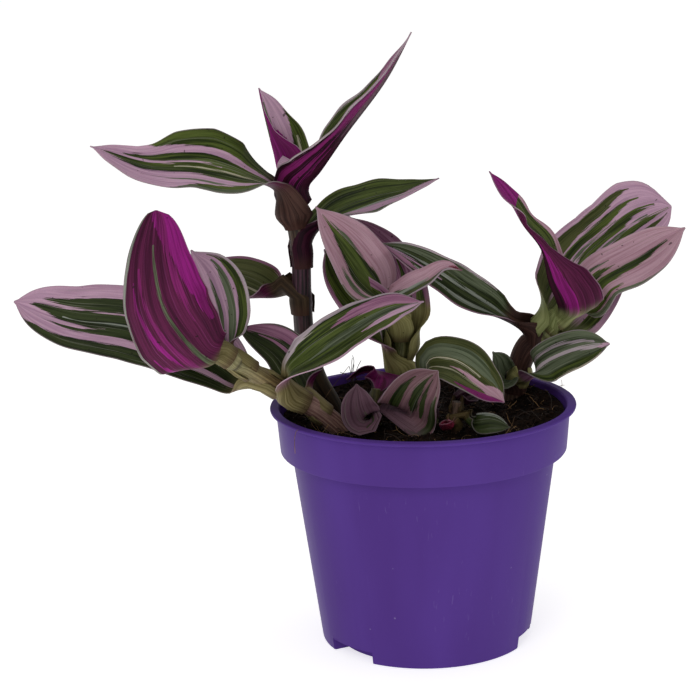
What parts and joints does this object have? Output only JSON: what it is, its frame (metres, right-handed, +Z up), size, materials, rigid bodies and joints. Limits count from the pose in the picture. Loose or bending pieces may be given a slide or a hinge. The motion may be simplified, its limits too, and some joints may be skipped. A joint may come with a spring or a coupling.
{
  "type": "potted tradescantia",
  "caption": "House plant in a tapered plastic nursery pot filled with soil, with fleshy stems and striped lance-shaped leaves that clasp them.",
  "frame": {"origin": "centre of the flat underside of the pot", "axes": "+Z up, -Y towards the front of the plant, +X to its right"},
  "size_m": [0.2615, 0.12, 0.2392],
  "materials": {
    "pot": "satin moulded polypropylene, purple",
    "soil": "damp dark coir soil with fibres",
    "stem_brown": "fleshy purple-brown stem, finely striped",
    "stem_green": "fleshy green stem, finely striped",
    "leaf_green": "waxy leaf, green striped with pink and cream",
    "leaf_pink": "waxy leaf, pink with dark green streaks",
    "leaf_plum": "waxy leaf underside, plum and magenta"
  },
  "bodies": {
    "root": {"pot": "pot", "soil": "soil", "stem_tall": "stem_brown", "stem_left": "stem_brown", "stem_middle": "stem_green", "stem_right": "stem_green", "stem_low": "stem_green", "stem_young_left": "stem_brown", "stem_young_right": "stem_brown", "leaf_tall_low": "leaf_green", "leaf_tall_right": "leaf_green", "leaf_tall_left": "leaf_green", "leaf_tall_upright": "leaf_plum", "leaf_tall_small": "leaf_plum", "leaf_left_low": "leaf_green", "leaf_left_arching": "leaf_green", "leaf_left_far": "leaf_green", "leaf_left_back": "leaf_green", "leaf_left_front": "leaf_plum", "leaf_middle_left": "leaf_green", "leaf_middle_back": "leaf_pink", "leaf_middle_front": "leaf_pink", "leaf_middle_right": "leaf_pink", "leaf_right_dark": "leaf_green", "leaf_right_low": "leaf_green", "leaf_right_long": "leaf_green", "leaf_right_cupped": "leaf_pink", "leaf_right_streaked": "leaf_pink", "leaf_right_curled": "leaf_plum", "leaf_low_front": "leaf_pink", "leaf_low_arching": "leaf_green", "leaf_young_muted": "leaf_pink", "leaf_young_dark": "leaf_plum", "leaf_young_red": "leaf_plum", "leaf_young_green": "leaf_green", "leaf_young_brown": "leaf_plum"}
  },
  "joints": []
}
